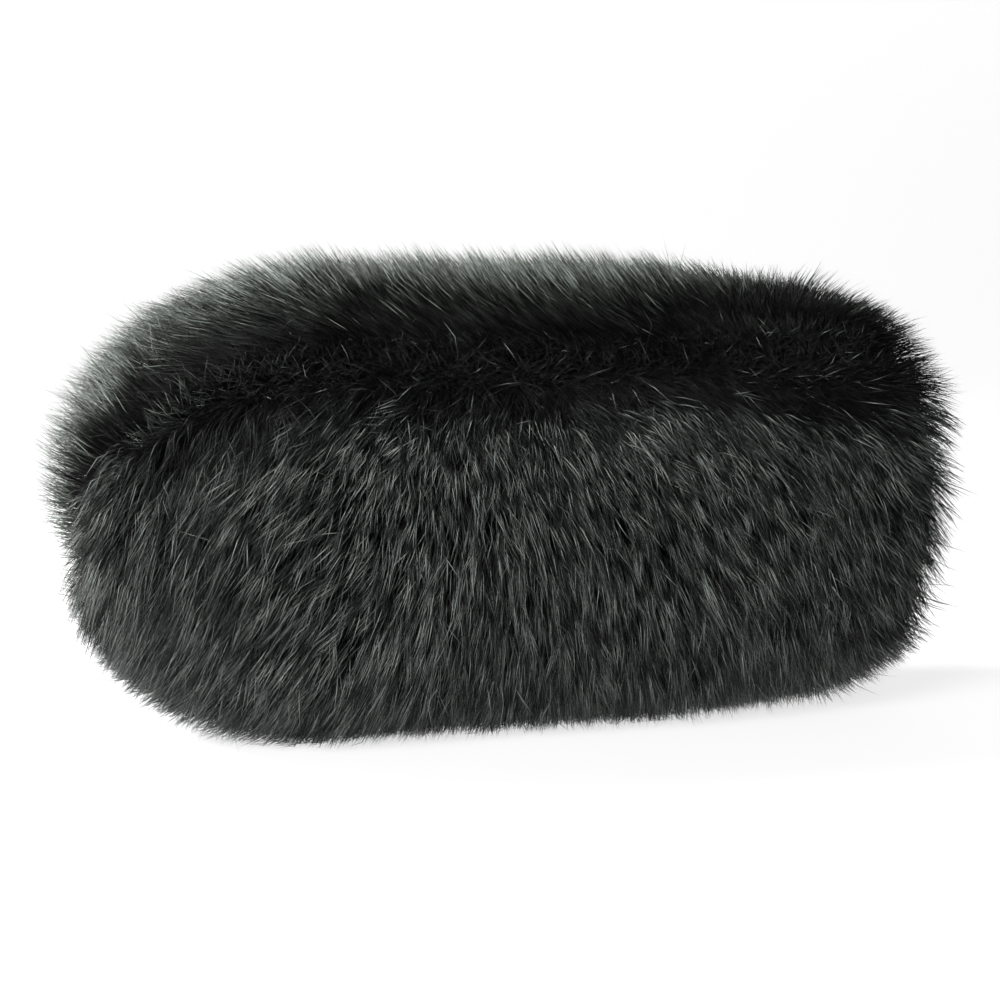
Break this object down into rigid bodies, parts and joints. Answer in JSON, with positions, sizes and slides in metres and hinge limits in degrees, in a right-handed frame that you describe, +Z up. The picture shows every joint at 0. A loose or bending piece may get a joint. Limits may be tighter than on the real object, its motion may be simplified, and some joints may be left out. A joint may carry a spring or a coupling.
{
  "type": "furry microphone windscreen",
  "caption": "Black faux-fur slip-on windscreen for a short shotgun microphone: a parted fur cover over a foam-lined plastic cage with a rubber boot at the rear.",
  "frame": {"origin": "centre of the boot's microphone aperture, on the boot's rear face", "axes": "+X along the microphone's axis, out of the rear opening, so the rounded nose points to -X; +Z up"},
  "size_m": [0.2296, 0.122, 0.119],
  "materials": {
    "base_plastic": "matte",
    "cage_plastic": "satin",
    "open_foam": "matte",
    "support_foam": "matte",
    "boot_rubber": "matte",
    "screw_steel": "satin",
    "backing_knit": "matte",
    "faux_fur": "satin",
    "binding_tape": "matte",
    "elastic_cord": "matte",
    "thread": "satin"
  },
  "bodies": {
    "core": {"base_ring": "base_plastic", "cage_barrel": "cage_plastic", "cage_nose": "cage_plastic", "foam_sleeve": "open_foam", "foam_nose": "open_foam", "front_foam_support": "support_foam", "rear_foam_support": "support_foam", "rubber_boot": "boot_rubber", "boot_clamp_ring": "base_plastic", "clamp_screws": "screw_steel"},
    "cover": {"upper_backing": "backing_knit", "lower_backing": "backing_knit", "upper_pile": "faux_fur", "lower_pile": "faux_fur", "seam_binding": "binding_tape", "seam_stitches": "thread", "hem_tape": "binding_tape", "hem_elastic": "elastic_cord", "hem_stitches": "thread"}
  },
  "joints": [
    {"name": "cover_slide", "type": "slide", "parent": "core", "child": "cover", "axis": [-1, 0, 0], "range_m": [0, 0.2]}
  ]
}
